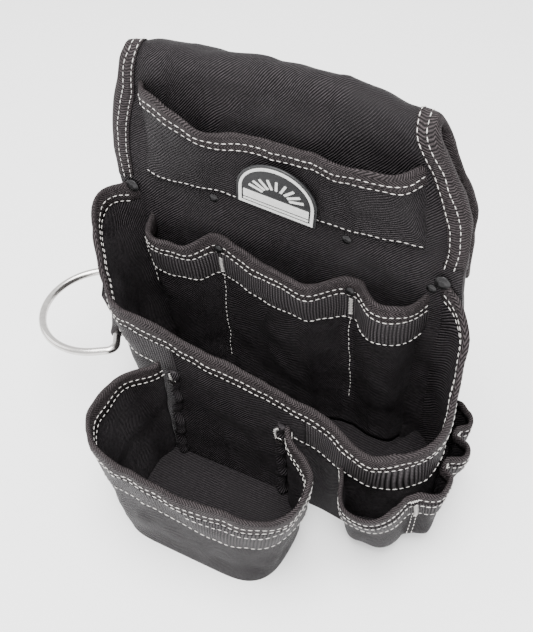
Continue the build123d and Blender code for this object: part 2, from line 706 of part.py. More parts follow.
# Webbing keeper: wraps the ring's bar, and both tails go up the wall.
keeper_plane = Plane(origin=keeper_middle - left_along * (keeper_width / 2), x_dir=left_normal,
                     z_dir=left_along)
loop_inside = wire_radius + keeper_clearance
loop_outside = loop_inside + keeper_ply
with BuildPart() as ring_keeper:
    with BuildSketch(keeper_plane):
        Circle(loop_outside)
        with BuildLine():
            Polyline((skin_at + tail_ply, 0), (skin_at + tail_ply + wall_slope * keeper_tail, keeper_tail),
                     (skin_at + wall_slope * keeper_tail, keeper_tail), (skin_at, 0), close=True)
        make_face()
        Circle(loop_inside, mode=Mode.SUBTRACT)
    extrude(amount=keeper_width)
    add(keeper_holes, mode=Mode.SUBTRACT)
export(ring_keeper.part, "ring_keeper")

keeper_grip = tail_ply + ply_gap + webbing + 2 * ply_gap + cloth
keeper_rivet_set = [rivet(plane, small_cap_radius, small_cap_height, keeper_grip)
                    for plane in keeper_rivet_planes]
export(Compound(children=keeper_rivet_set), "keeper_rivets")
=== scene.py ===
import json
from math import acos, cos, pi, radians, sin, tan

import bmesh
import bpy
import numpy as np
from mathutils import Matrix, Vector, noise


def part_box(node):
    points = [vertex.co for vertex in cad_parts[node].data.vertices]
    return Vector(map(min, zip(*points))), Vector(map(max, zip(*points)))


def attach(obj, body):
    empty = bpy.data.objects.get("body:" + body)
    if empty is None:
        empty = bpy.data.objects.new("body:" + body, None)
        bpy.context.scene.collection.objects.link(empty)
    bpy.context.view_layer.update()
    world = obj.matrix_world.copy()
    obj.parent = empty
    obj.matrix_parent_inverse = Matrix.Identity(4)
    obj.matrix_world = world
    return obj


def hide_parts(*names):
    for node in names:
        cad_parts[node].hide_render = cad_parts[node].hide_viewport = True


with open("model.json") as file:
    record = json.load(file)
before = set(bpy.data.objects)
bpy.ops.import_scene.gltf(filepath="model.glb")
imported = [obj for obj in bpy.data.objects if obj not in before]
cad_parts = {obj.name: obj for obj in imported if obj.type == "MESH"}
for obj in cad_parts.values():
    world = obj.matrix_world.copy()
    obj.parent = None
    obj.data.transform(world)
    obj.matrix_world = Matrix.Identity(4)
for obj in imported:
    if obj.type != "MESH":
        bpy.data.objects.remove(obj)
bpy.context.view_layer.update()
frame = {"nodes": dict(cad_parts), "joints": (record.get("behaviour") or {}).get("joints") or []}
mm = 0.001


# ======== Main pouch ========
# The bag itself: one wall of lined ballistic nylon that runs from the back panel round the left
# side, the front and the right side, sewn to a flat floor. The wall leans out to its mouth, and
# the rim climbs from the front to the panel.
panel_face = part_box("back_panel")[0].y
cloth = 2.4 * mm
fold_wave, crumple_wave, crease_wave = 3.0 * mm, 1.3 * mm, 3.2 * mm
still_near_floor = 0.02


noise.seed_set(11)


def relaxed(points):
    """The slow waves of slack cloth, the same for everything that is sewn together at a place."""
    shape = points.shape
    loose = points.reshape(-1, 3).copy()
    for place in loose:
        here = Vector(place)
        wave = noise.noise_vector(here * 21.0) * fold_wave
        wave += noise.noise_vector(here * 64.0) * crumple_wave
        ridge = 1.0 - abs(noise.noise(Vector((here.x * 34, here.y * 34, here.z * 15)))) * 2.4
        wave += noise.noise_vector(here * 12.0) * max(0.0, ridge) ** 2 * crease_wave
        place += np.array(wave) * min(1.0, max(0.0, place[2] / still_near_floor))
    return loose.reshape(shape)


def bends(points, radii):
    """Straight runs and round bends of an outline: a start, an end and, in a bend, a centre."""
    marks, here = [], np.array(points[0], float)
    for before, corner, after, radius in zip(points, points[1:], points[2:], radii):
        corner = np.array(corner, float)
        back = np.array(before) - corner
        ahead = np.array(after) - corner
        back, ahead = back / np.linalg.norm(back), ahead / np.linalg.norm(ahead)
        half = acos(np.clip(back @ ahead, -1, 1)) / 2
        start, end = corner + back * radius / tan(half), corner + ahead * radius / tan(half)
        middle = (back + ahead) / np.linalg.norm(back + ahead)
        marks.append((here, start, None))
        marks.append((start, end, corner + middle * radius / sin(half)))
        here = end
    marks.append((here, np.array(points[-1], float), None))
    return marks


def sampled(mark, steps):
    """Even places along one run or bend, its end left out."""
    start, end, centre = mark
    share = np.arange(steps)[:, None] / steps
    if centre is None:
        return start + (end - start) * share
    first, last = start - centre, end - centre
    turn = acos(np.clip(first @ last / (first @ first), -1, 1))
    return centre + (first * np.sin((1 - share) * turn) + last * np.sin(share * turn)) / sin(turn)


def rounded(outline, times):
    """An outline with its bends eased, its two ends kept."""
    for _ in range(times):
        outline[1:-1] = outline[1:-1] * 0.5 + (outline[:-2] + outline[2:]) * 0.25
    return outline


class Wall:
    """A cloth wall ruled between a plan outline at its foot and one at its mouth, in mm."""

    def __init__(self, foot, foot_outline, mouth, mouth_outline, limit, spacing=4.0, soften=0, clear=None):
        low, high = [], []
        for below, above in zip(bends(*foot_outline), bends(*mouth_outline)):
            longest = max(np.linalg.norm(m[1] - m[0]) for m in (below, above))
            steps = max(4 if below[2] is not None else 1, int(longest / spacing))
            low.append(sampled(below, steps))
            high.append(sampled(above, steps))
        self.low = rounded(np.vstack([*low, [foot_outline[0][-1]]]), soften) * mm
        self.high = rounded(np.vstack([*high, [mouth_outline[0][-1]]]), soften) * mm
        if clear is not None:
            kept = clear(self.low, foot * mm) & clear(self.high, mouth * mm)
            self.low, self.high = self.low[kept], self.high[kept]
        self.foot, self.mouth, self.limit = foot * mm, mouth * mm, limit
        steps = np.linalg.norm(np.diff(self.high, axis=0), axis=1)
        self.run = np.concatenate([[0], np.cumsum(steps)])

    def plan(self, level, out=0.0):
        """Place in plan at a level for each step of the outline, moved outwards."""
        share = np.clip((level - self.foot) / (self.mouth - self.foot), 0, None)
        flat = self.low + (self.high - self.low) * np.reshape(share, (-1, 1))
        ahead = np.gradient(flat, axis=0)
        ahead /= np.linalg.norm(ahead, axis=1)[:, None]
        return flat + np.stack([ahead[:, 1], -ahead[:, 0]], 1) * out

    def at(self, level, out=0.0):
        level = np.broadcast_to(level, self.run.shape).astype(float)
        points = np.column_stack([self.plan(level, out), level])
        return relaxed(self.limit(points))

    def rim(self, rule):
        """Level of the rim at each step, from a rule on the place in plan."""
        level = np.full(self.run.shape, self.mouth * 0.8)
        for _ in range(4):
            flat = self.plan(level)
            level = np.array([rule(x, y) for x, y in flat / mm]) * mm
        soft = np.convolve(np.pad(level, 3, mode="edge"), np.ones(7) / 7, "valid")
        return soft


def lofted(name, sections, across, run, material):
    """Closed skin through section loops, with a UV map in metres, run by across."""
    count, loop = sections.shape[:2]
    skin = bmesh.new()
    verts = [[skin.verts.new(p) for p in section] for section in sections]
    uv = skin.loops.layers.uv.new("cloth")
    for i in range(count - 1):
        for j in range(loop):
            k = (j + 1) % loop
            face = skin.faces.new((verts[i][j], verts[i + 1][j], verts[i + 1][k], verts[i][k]))
            far = across[k] if k else across[0] + 0.001
            corners = ((run[i], across[j]), (run[i + 1], across[j]), (run[i + 1], far), (run[i], far))
            for corner, place in zip(face.loops, corners):
                corner[uv].uv = place
    for end in (verts[0], verts[-1]):
        skin.faces.new(end)
    bmesh.ops.remove_doubles(skin, verts=skin.verts, dist=1e-6)
    bmesh.ops.recalc_face_normals(skin, faces=skin.faces)
    for face in skin.faces:
        face.smooth = True
    return piece(name, skin, material)


def piece(name, built, material):
    mesh = bpy.data.meshes.new(name)
    built.to_mesh(mesh)
    built.free()
    made = bpy.data.objects.new(name, mesh)
    bpy.context.scene.collection.objects.link(made)
    mesh.materials.append(material)
    return made


def finished(made, slot, *nodes, body="pouch"):
    """The piece rides on a body and stands for CAD nodes. The slot argument is not used."""
    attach(made, body)
    if nodes:
        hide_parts(*nodes)
    return made


def wall_piece(name, wall, foot, rim, thick, material, rows=26):
    """The cloth of a wall from a level up to its rim, outer face first."""
    share = np.linspace(0, 1, rows)
    outer = [wall.at(foot + (rim - foot) * s, 0.0) for s in share]
    inner = [wall.at(foot + (rim - foot) * s, -thick) for s in share[::-1]]
    up = list(share * float(np.mean(rim - foot)))
    across = up + [up[-1] + thick + up[-1] - v for v in up[::-1]]
    return lofted(name, np.stack(outer + inner, 1), across, wall.run, material)


def cut_from_cloth(made, wall, foot, rim, held, *resting):
    """Works out a wall's cut on the smooth wall, before the cloth's waves, and keeps nothing of it. The
    made, held and resting arguments are not used.
    """
    levels = [foot + (rim - foot) * share for share in np.linspace(0, 1, 12)]
    rows = [np.column_stack([wall.plan(level), level + 0 * wall.run]) for level in levels]
    smooth = np.array([wall.limit(row) for row in rows])


def banded(name, wall, level, profile, material, part=slice(None)):
    """A strip along a wall; its closed profile gives drops below the level and offsets, in mm."""
    rings = [wall.at(level - drop * mm, out * mm)[part] for drop, out in profile]
    across, here = [0.0], 0.0
    for (a, b), (c, d) in zip(profile, profile[1:]):
        here += float(np.hypot(c - a, d - b)) * mm
        across.append(here)
    return lofted(name, np.stack(rings, 1), across, wall.run[part], material)


def folded_tape(width, cloth_ply=2.4):
    """Profile of binding tape folded over an edge, from the foot of its outer face."""
    inside = -cloth_ply - 1.1
    return [(width, 0.35), (width - 0.5, 1.0), (width * 0.5, 1.25), (3.0, 1.15), (1.0, 1.0), (-0.5, 0.5),
            (-1.2, -0.5), (-1.35, -1.2), (-1.2, -1.9), (-0.5, inside + 0.6), (1.0, inside + 0.1),
            (3.0, inside), (width * 0.5, inside), (width, inside + 0.3), (width, inside + 0.8),
            (2.0, inside + 0.9), (0.6, -1.2), (2.0, 0.15)]


def flat_band(top, foot):
    """Profile of a webbing band sewn flat on a wall."""
    return [(foot, 0.15), (foot - 0.2, 1.15), (foot - 1.5, 1.5), ((top + foot) / 2, 1.6), (top + 1.5, 1.5),
            (top, 1.3), (top, 0.15)]


def joined(tree, kind, options, *inputs, **named):
    """Adds a node, sets its options, and fills or links its inputs in order or by name."""
    made = tree.nodes.new(kind)
    for option, value in options.items():
        setattr(made, option, value)
    by_name = [(name.replace("_", " "), value) for name, value in named.items()]
    for place, value in [*enumerate(inputs), *by_name]:
        if isinstance(value, bpy.types.NodeSocket):
            tree.links.new(value, made.inputs[place])
        else:
            made.inputs[place].default_value = value
    return made.outputs[0]


def maths(tree, operation, *inputs):
    return joined(tree, "ShaderNodeMath", {"operation": operation}, *inputs)


def blank(name):
    """A new material; returns it with its tree and its shader."""
    material = bpy.data.materials.new(name)
    material.use_nodes = True
    return material, material.node_tree, material.node_tree.nodes["Principled BSDF"]


def surface(name, roughness, **constants):
    """A new cloth material, and the two directions of its UV map."""
    material, tree, shader = blank(name)
    shader.inputs["Roughness"].default_value = roughness
    for socket, value in constants.items():
        shader.inputs[socket.replace("_", " ")].default_value = value
    place = joined(tree, "ShaderNodeUVMap", {"uv_map": "cloth"})
    along = joined(tree, "ShaderNodeSeparateXYZ", {}, place)
    return material, tree, shader, along, along.node.outputs[1]


def speckled(tree, scale, detail):
    """Fine noise through the object."""
    place = tree.nodes.new("ShaderNodeTexCoord").outputs["Object"]
    return joined(tree, "ShaderNodeTexNoise", {}, Vector=place, Scale=scale, Detail=detail)


def ranged(tree, value, *limits):
    """A value brought from one range to another, and held inside it."""
    return joined(tree, "ShaderNodeMapRange", {}, value, *limits)


def mixed(tree, share, first, second):
    """A colour between two, each a colour or a node's output."""
    mix = tree.nodes.new("ShaderNodeMix")
    mix.data_type = "RGBA"
    tree.links.new(share, mix.inputs[0])
    for socket, colour in ((mix.inputs[6], first), (mix.inputs[7], second)):
        if isinstance(colour, bpy.types.NodeSocket):
            tree.links.new(colour, socket)
        else:
            socket.default_value = (*colour, 1)
    return mix.outputs[2]


def wave(tree, value, period):
    """A sine along a direction, from 0 to 1."""
    turns = maths(tree, "MULTIPLY", value, 2 * pi / period)
    swing = maths(tree, "SINE", turns)
    return maths(tree, "MULTIPLY_ADD", swing, 0.5, 0.5)


def relief(tree, shader, height, depth):
    bump = joined(tree, "ShaderNodeBump", {}, Strength=1.0, Distance=depth, Height=height)
    tree.links.new(bump, shader.inputs["Normal"])


def tinted_with_sheen_and_dust(tree, shader, height, dark, light, worn):
    """Colour from the weave's height, the raised threads painted lighter as a painted sheen, with slow
    patches of dust and rubbing over it.
    """
    # The raised threads take the lighter colour: painted sheen on the thread crowns.
    woven = mixed(tree, height, dark, light)
    patches = ranged(tree, speckled(tree, 34.0, 5.0), 0.42, 0.75, 0.0, 0.55)
    tree.links.new(mixed(tree, patches, woven, worn), shader.inputs["Base Color"])


def uneven(tree, height, low, high, scale):
    """Threads that catch the light unevenly: the height times a fine noise."""
    catch = ranged(tree, speckled(tree, scale, 2.0), 0.35, 0.65, low, high)
    return maths(tree, "MULTIPLY", height, catch)


def nylon(name, pick=2.1 * mm):
    """Ballistic nylon: bundled threads that cross over and under, which draws fine diagonals."""
    material, tree, shader, along, up = surface(name, 0.5, Specular_IOR_Level=0.1)
    diagonal = maths(tree, "ADD", along, up)
    counter = maths(tree, "SUBTRACT", along, up)
    twill = maths(tree, "POWER", wave(tree, counter, pick), 1.8)
    cut = wave(tree, diagonal, pick * 0.62)
    thread = maths(tree, "MULTIPLY", cut, twill)
    half = maths(tree, "MULTIPLY", thread, 0.5)
    woven = maths(tree, "MULTIPLY_ADD", twill, 0.6, half)
    woven = uneven(tree, woven, 0.5, 1.3, 380.0)
    # The light colour is painted sheen on the raised threads; the worn colour is dust and rubbing.
    tinted_with_sheen_and_dust(tree, shader, woven, (0.0012, 0.001, 0.0012), (0.095, 0.084, 0.09), (0.02, 0.018, 0.019))
    relief(tree, shader, woven, 1.3 * mm)
    return material


def herringbone(name):
    """Binding tape: slanted ribs that turn back at each quarter of its width."""
    material, tree, shader, along, up = surface(name, 0.6, Specular_IOR_Level=0.1)
    turned = maths(tree, "PINGPONG", up, 3.6 * mm)
    slanted = maths(tree, "ADD", along, turned)
    ribs = uneven(tree, wave(tree, slanted, 2.1 * mm), 0.45, 1.2, 500.0)
    # The light colour is painted sheen on the raised ribs; the worn colour is dust and rubbing.
    tinted_with_sheen_and_dust(tree, shader, ribs, (0.0016, 0.0013, 0.0014), (0.062, 0.052, 0.054), (0.022, 0.0185, 0.019))
    relief(tree, shader, ribs, 0.5 * mm)
    return material


def ribbed(name):
    """Heavy webbing: cords side by side across the band, each a row of short threads."""
    material, tree, shader, along, up = surface(name, 0.5, Specular_IOR_Level=0.12)
    cords = wave(tree, along, 2.5 * mm)
    dashes = wave(tree, up, 1.7 * mm)
    crowned = maths(tree, "MULTIPLY", cords, dashes)
    half = maths(tree, "MULTIPLY", cords, 0.2)
    height = maths(tree, "MULTIPLY_ADD", crowned, 0.9, half)
    # The light colour is painted sheen on the raised cords; the worn colour is dust and rubbing.
    tinted_with_sheen_and_dust(tree, shader, height, (0.0014, 0.0012, 0.0013), (0.09, 0.081, 0.085), (0.024, 0.0215, 0.0225))
    relief(tree, shader, height, 0.8 * mm)
    return material


def thread(name, colour):
    """Bonded sewing thread, twisted, a little soiled."""
    material, tree, shader = blank(name)
    shader.inputs["Roughness"].default_value = 0.55
    shader.inputs["Sheen Weight"].default_value = 0.2
    soiled = [part * 0.62 for part in colour]
    tree.links.new(mixed(tree, speckled(tree, 160.0, 2.0), colour, soiled), shader.inputs["Base Color"])
    return material


black_nylon = nylon("black_nylon")
black_tape = herringbone("black_tape")
black_webbing = ribbed("black_webbing")
white_thread = thread("white_thread", (0.72, 0.69, 0.66))


def new_tree(name, line_name, sizes, result):
    """An empty geometry nodes tree with named inputs; returns it with those inputs."""
    tree = bpy.data.node_groups.new(name, "GeometryNodeTree")
    tree.interface.new_socket(line_name, in_out="INPUT", socket_type="NodeSocketGeometry")
    for label, value in sizes:
        size = tree.interface.new_socket(label, in_out="INPUT", socket_type="NodeSocketFloat")
        size.default_value = value
    tree.interface.new_socket(result, in_out="OUTPUT", socket_type="NodeSocketGeometry")
    return tree, tree.nodes.new("NodeGroupInput").outputs


def ended(tree, geometry, material):
    """The end of every tree: instances made real, then their material."""
    whole = joined(tree, "GeometryNodeRealizeInstances", {}, geometry)
    dressed = joined(tree, "GeometryNodeSetMaterial", {}, Geometry=whole, Material=material)
    tree.links.new(dressed, tree.nodes.new("NodeGroupOutput").inputs[0])
    return tree


def turned_to(tree, axis, direction):
    """A rotation that points an axis along a direction."""
    return joined(tree, "FunctionNodeAlignRotationToVector", {"axis": axis}, Vector=direction)


def stitch_tree():
    """Geometry nodes that lay a stitch at every pitch along seam lines."""
    sizes = (("Stitch pitch", 4.7 * mm), ("Stitch length", 3.6 * mm), ("Thread radius", 0.32 * mm))
    tree, seam = new_tree("seam_stitches", "Seam lines", sizes, "Stitches")
    lines = joined(tree, "GeometryNodeMeshToCurve", {}, seam["Seam lines"])
    pitch = seam["Stitch pitch"]
    even = joined(tree, "GeometryNodeResampleCurve", {"mode": "LENGTH"}, Curve=lines, Length=pitch)
    ball = joined(tree, "GeometryNodeMeshUVSphere", {}, Segments=6, Rings=5, Radius=1.0)
    half = maths(tree, "MULTIPLY", seam["Stitch length"], 0.5)
    size = joined(tree, "ShaderNodeCombineXYZ", {}, half, seam["Thread radius"], seam["Thread radius"])
    shaped = joined(tree, "GeometryNodeTransform", {}, Geometry=ball, Scale=size)
    hand = tree.nodes.new("FunctionNodeRandomValue")
    limits = {"Min": 0.86, "Max": 1.1, "Seed": 7}
    for socket in hand.inputs:
        if socket.name in limits and socket.type in ("VALUE", "INT") and socket.enabled:
            socket.default_value = limits[socket.name]
    tangent = tree.nodes.new("GeometryNodeInputTangent").outputs[0]
    spread = [socket for socket in hand.outputs if socket.enabled][0]
    laid = joined(tree, "GeometryNodeInstanceOnPoints", {}, Points=even, Instance=shaped,
                  Rotation=turned_to(tree, "X", tangent), Scale=spread)
    return ended(tree, laid, white_thread)


def zigzag_tree():
    """Geometry nodes that give a thread its thickness along a zigzag."""
    tree, given = new_tree("bar_tack", "Zigzag", [("Thread radius", 0.42 * mm)], "Tack")
    line = joined(tree, "GeometryNodeMeshToCurve", {}, given["Zigzag"])
    radius = given["Thread radius"]
    round_section = joined(tree, "GeometryNodeCurvePrimitiveCircle", {}, Resolution=5, Radius=radius)
    tube = joined(tree, "GeometryNodeCurveToMesh", {}, Curve=line, Profile_Curve=round_section,
                  Fill_Caps=True)
    return ended(tree, tube, white_thread)


seam_stitches, bar_tack = stitch_tree(), zigzag_tree()


def laid_out(name, mesh, tree, **sizes):
    """What a geometry nodes tree makes on a mesh of lines or places, as a plain mesh."""
    guide = bpy.data.objects.new(name + "_guide", mesh)
    bpy.context.scene.collection.objects.link(guide)
    modifier = guide.modifiers.new("laid", "NODES")
    modifier.node_group = tree
    for socket in tree.interface.items_tree:
        if socket.name.replace(" ", "_") in sizes:
            modifier[socket.identifier] = sizes[socket.name.replace(" ", "_")]
    graph = bpy.context.evaluated_depsgraph_get()
    made = bpy.data.objects.new(name, bpy.data.meshes.new_from_object(guide.evaluated_get(graph)))
    bpy.data.objects.remove(guide)
    bpy.context.scene.collection.objects.link(made)
    return made


def threaded(name, lines, tree, **sizes):
    """Thread along lines of points."""
    mesh = bpy.data.meshes.new(name)
    points, edges = [], []
    for line in lines:
        first = len(points)
        points += [tuple(p) for p in line]
        edges += [(first + k, first + k + 1) for k in range(len(line) - 1)]
    mesh.from_pydata(points, edges, [])
    made = laid_out(name, mesh, tree, **sizes)
    for face in made.data.polygons:
        face.use_smooth = True
    return made


def tack(points, normal, width, pitch=0.75 * mm):
    """Zigzag from end to end of a short bar; the normal points out of the cloth."""
    points = np.array(points, float)
    steps = np.linalg.norm(np.diff(points, axis=0), axis=1)
    run = np.concatenate([[0], np.cumsum(steps)])
    places = np.arange(0, run[-1], pitch)
    middle = np.column_stack([np.interp(places, run, points[:, k]) for k in range(3)])
    ahead = np.gradient(middle, axis=0)
    aside = np.cross(ahead, normal)
    aside /= np.linalg.norm(aside, axis=1)[:, None]
    sign = np.where(np.arange(len(places)) % 2, 1, -1)[:, None]
    return middle + aside * sign * width / 2 + np.array(normal) * 0.5 * mm


def behind_panel(points):
    """Walls end inside the panel's thickness."""
    points[:, 1] = np.minimum(points[:, 1], panel_face + 1.5 * mm)
    return points


main_wall = Wall(0, ([(-100, 60), (-120, 28), (-78.4, -42), (70, -42), (100, -46), (134, -36), (146, -12),
                      (144, 26), (102, 60)], [8, 26, 40, 30, 20, 20, 14]),
                 206, ([(-92, 60), (-160, 33), (-127.3, -22), (70, -22), (112, -54), (135, -34), (155, -8),
                        (142, 34), (104, 60)], [20, 36, 40, 24, 30, 26, 14]), behind_panel, soften=14)


def main_rim_rule(x, y):
    """Level of the rim, in mm: it climbs along the left wall, falls along the front to the right
    corner and climbs again along the right wall."""
    left = np.interp(y, [-60, -18, 24, 60], [141, 143, 193, 201])
    right = np.interp(y, [-60, -28, 8, 40, 60], [101, 101, 123, 187, 197])
    front = np.interp(x, [-150, -86, 95, 200], [142, 139, 103, 101])
    if x < -92:
        return min(left, front) if y < -14 else left
    if x > 100:
        return min(right, front) if y < -14 else right
    return front


main_rim = main_wall.rim(main_rim_rule)
main_piece = wall_piece("main_wall", main_wall, 0.0, main_rim, cloth, black_nylon, rows=34)
finished(main_piece, "heavy_cloth", "main_pouch")
cut_from_cloth(main_piece, main_wall, 0.0, main_rim, "folded", "back_panel")


def floor_piece(name, wall, level, thick, grow):
    """Stiff floor inside a wall's foot."""
    plate = bmesh.new()
    edge = wall.at(level, grow)
    upper = edge + np.array([0, 0, thick])
    low = [plate.verts.new(p) for p in edge]
    high = [plate.verts.new(p) for p in upper]
    plate.faces.new(low)
    plate.faces.new(high)
    for k in range(len(low)):
        nearby = (k + 1) % len(low)
        plate.faces.new((low[k], low[nearby], high[nearby], high[k]))
    bmesh.ops.recalc_face_normals(plate, faces=plate.faces)
    uv = plate.loops.layers.uv.new("cloth")
    for face in plate.faces:
        for corner in face.loops:
            corner[uv].uv = corner.vert.co.xy
    return piece(name, plate, black_nylon)


finished(floor_piece("main_floor", main_wall, 0.0, 3 * mm, -cloth), "heavy_cloth")
rim_tape, rim_band = folded_tape(14), flat_band(13.5, 37)
finished(banded("main_rim_tape", main_wall, main_rim, rim_tape, black_tape),
         "binding_tape", "main_rim_binding")

# Webbing stiffens the wall under the rim, and both are sewn down in rows of white thread.
front_left, front_right = -66 * mm, 46 * mm
x, y = main_wall.high.T
inside_front = (y < 0) & (x > front_left) & (x < front_right)
first, last = np.flatnonzero(inside_front)[[0, -1]]
finished(banded("main_rim_band_left", main_wall, main_rim, rim_band, black_webbing, slice(0, first)),
         "webbing_band", "main_rim_webbing")
right_part = slice(last + 1, None)
finished(banded("main_rim_band_right", main_wall, main_rim, rim_band, black_webbing, right_part),
         "webbing_band")


def seam_rows(wall, level, drops, out, keep=None, inner=()):
    """Stitch lines a few distances below a rim, on the outer face and, if asked, inside."""
    lines = []
    for drop in drops:
        lines.append(wall.at(level - drop * mm, out * mm))
    for drop, depth in inner:
        lines.append(wall.at(level - drop * mm, -depth * mm))
    if keep is not None:
        lines = [line[keep(line)] for line in lines]
    return lines


def in_front(line):
    return line[:, 1] < panel_face - 2 * mm


def left_of_front(line):
    return in_front(line) & (line[:, 0] < front_left)


def right_of_front(line):
    return in_front(line) & (line[:, 0] > front_right)


tape_rows, band_row, inside_rows = (7.5, 12.6), (35.5,), ((8, 3.7), (13, 3.7))
tape_face, band_face = 1.35, 1.75
main_seams = seam_rows(main_wall, main_rim, tape_rows, tape_face, in_front, inside_rows)
for half in (left_of_front, right_of_front):
    main_seams += seam_rows(main_wall, main_rim, band_row, band_face, half)
finished(threaded("main_rim_stitches", main_seams, seam_stitches), "binding_tape")


# ======== Front pouch ========
# A second, smaller bag of the same nylon, sewn by its two sides to the main front wall. Its rim is
# bound with tape, and webbing under it holds the mouth open.
def main_front(level):
    """Y of the main front wall's outer face at a level."""
    return (-42 + 20 * level / (206 * mm)) * mm


def against_front(points):
    points[:, 1] = np.minimum(points[:, 1], main_front(points[:, 2]) + 1.0 * mm)
    return points


def off_front(flat, level):
    return flat[:, 1] < main_front(level) + 1.0 * mm


front_wall = Wall(0, ([(-65, -8), (-65, -47), (-71, -56), (-68, -122), (62, -122), (64, -60), (45, -47),
                       (45, -8)], [4, 4, 24, 24, 8, 5]),
                  124, ([(-64, -8), (-64, -43), (-90, -54), (-86, -127), (84, -121), (84, -68), (44, -45),
                         (44, -8)], [6, 16, 36, 30, 18, 7]), against_front, soften=16, clear=off_front)


def front_rim_rule(x, y):
    """Level of the rim: high on the left, then down to the right, with a slack dip at the front."""
    dip = 4 * np.exp(-((x - 6) / 30) ** 2) if y < -90 else 0
    return np.interp(x, [-200, -66, -34, 18, 50, 200], [110, 110, 108, 96, 94, 94]) - dip


front_rim = front_wall.rim(front_rim_rule)
front_piece = wall_piece("front_pouch_wall", front_wall, 0.0, front_rim, cloth, black_nylon)
finished(front_piece, "heavy_cloth", "front_pouch")
cut_from_cloth(front_piece, front_wall, 0.0, front_rim, "folded", main_piece.name)
finished(floor_piece("front_pouch_floor", front_wall, 0.0, 3 * mm, -cloth), "heavy_cloth")
finished(banded("front_pouch_tape", front_wall, front_rim, rim_tape, black_tape),
         "binding_tape", "front_pouch_binding")
finished(banded("front_pouch_band", front_wall, front_rim, rim_band, black_webbing),
         "webbing_band", "front_pouch_webbing")


def off_main(line):
    return line[:, 1] < main_front(line[:, 2]) - 2 * mm


def right_half(line):
    return (line[:, 0] > 8 * mm) & off_main(line)


front_seams = seam_rows(front_wall, front_rim, tape_rows, tape_face, off_main, inside_rows)
front_seams += seam_rows(front_wall, front_rim, (18.5,), band_face, right_half)
front_seams += seam_rows(front_wall, front_rim, band_row, band_face, off_main)
finished(threaded("front_pouch_stitches", front_seams, seam_stitches), "binding_tape")

# Raw edges of the two side seams are folded over inside the pouch and sewn as narrow welts.
welt_rows = np.linspace(0, 1, 60)


def welt_at(place, aside, level, out):
    """A place on a welt's ruffled fold, beside its middle and out from the main wall."""
    ruffle = 1.3 * mm * np.sin(level / (4.6 * mm) + place * 900) + 0.9 * mm * np.sin(level / (2.1 * mm))
    stand = out * (1 + ruffle / (5 * mm))
    return relaxed(np.column_stack([place + aside + ruffle, main_front(level) - stand, level]))


welts = (("left", -55.9 * mm, 100 * mm, 90 * mm), ("right", 35.9 * mm, 84 * mm, 70 * mm))
for name, place, top, cap_level in welts:
    level = 5 * mm + (top - 5 * mm) * welt_rows
    profile = [(-4.5, 0.2), (-4.7, 1.4), (-3.6, 2.6), (-1.5, 3.4), (0.4, 3.9), (2.2, 3.2), (3.6, 1.8),
               (4.5, 0.2)]
    rings = [welt_at(place, a * mm, level, o * mm) for a, o in profile]
    across = list(np.arange(len(profile)) * 1.8 * mm)
    welt = lofted("front_seam_welt_" + name + "_cloth", np.stack(rings, 1), across, level, black_nylon)
    finished(welt, "heavy_cloth", "front_seam_welt_" + name)
neck_tacks = []
for name, place, top, cap_level in welts:
    ends = np.linspace(top - 13 * mm, top - 1 * mm, 9)
    neck_tacks.append(tack(welt_at(place, -2.4 * mm, ends, 3.4 * mm), (0, -1, 0), 1.8 * mm))
finished(threaded("front_seam_tacks", neck_tacks, bar_tack), "heavy_cloth")


# ======== Back panel and belt tunnel ========
# One padded length of nylon: it stands behind the pockets, rolls over the belt at the top and comes
# down behind, where it is sewn across. Tape is folded over both side edges.
panel_ply = 4.6 * mm
panel_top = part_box("back_panel")[1].z
roll_radius = (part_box("back_panel")[1].y - panel_face) / 2
roll_level = panel_top - roll_radius
roll_middle = panel_face + roll_radius


def panel_profile():
    """Outer face of the panel seen from the side, from its foot up, over the roll and down."""
    path = [(panel_face, z) for z in np.arange(0, roll_level, 5 * mm)]
    for turn in np.linspace(0, pi, 15):
        path.append((roll_middle - roll_radius * cos(turn), roll_level + roll_radius * sin(turn)))
    leg = panel_face + 2 * roll_radius
    path += [(leg, z) for z in np.arange(roll_level - 5 * mm, 230 * mm, -5 * mm)]
    path += [(leg - 2 * mm, 225 * mm), (leg - 7 * mm, 217 * mm), (leg - 13 * mm, 209 * mm),
             (leg - 14.4 * mm, 203 * mm), (leg - 14.4 * mm, 196 * mm)]
    return np.array(path)


panel_path = panel_profile()
panel_steps = np.linalg.norm(np.diff(panel_path, axis=0), axis=1)
panel_run = np.concatenate([[0], np.cumsum(panel_steps)])
panel_ahead = np.gradient(panel_path, axis=0)
panel_ahead /= np.linalg.norm(panel_ahead, axis=1)[:, None]
panel_out = np.column_stack([-panel_ahead[:, 1], panel_ahead[:, 0]])
half_width = np.polyfit([-10, 120, 250, 324], [113, 132, 127, 106], 3)


def eased(value, low, high):
    share = np.clip((value - low) / (high - low), 0, 1)
    return share * share * (3 - 2 * share)


def panel_at(side, share, inset=0.0, out=0.0, rows=slice(None)):
    """Line up the panel at a share of its half width on one side, or at an inset from its edge."""
    path = panel_path[rows] + panel_out[rows] * out
    width = np.polyval(half_width, path[:, 1] / mm) * mm
    x = side * (width * share - inset)
    y, z = path[:, 0], path[:, 1]
    behind = np.clip(y - panel_face - panel_ply, 0, None)
    y = y - behind * 0.5 * eased(np.abs(x), 60 * mm, 125 * mm) * eased(z, 205 * mm, 235 * mm)
    tired = eased(z, 225 * mm, 312 * mm)
    z = z - (9 * mm * eased(x, 10 * mm, 110 * mm) + 3 * mm * eased(-x, 70 * mm, 115 * mm)) * tired
    x = x - 8 * mm * eased(x, 30 * mm, 110 * mm) * tired
    return relaxed(np.column_stack([x, y, z]))


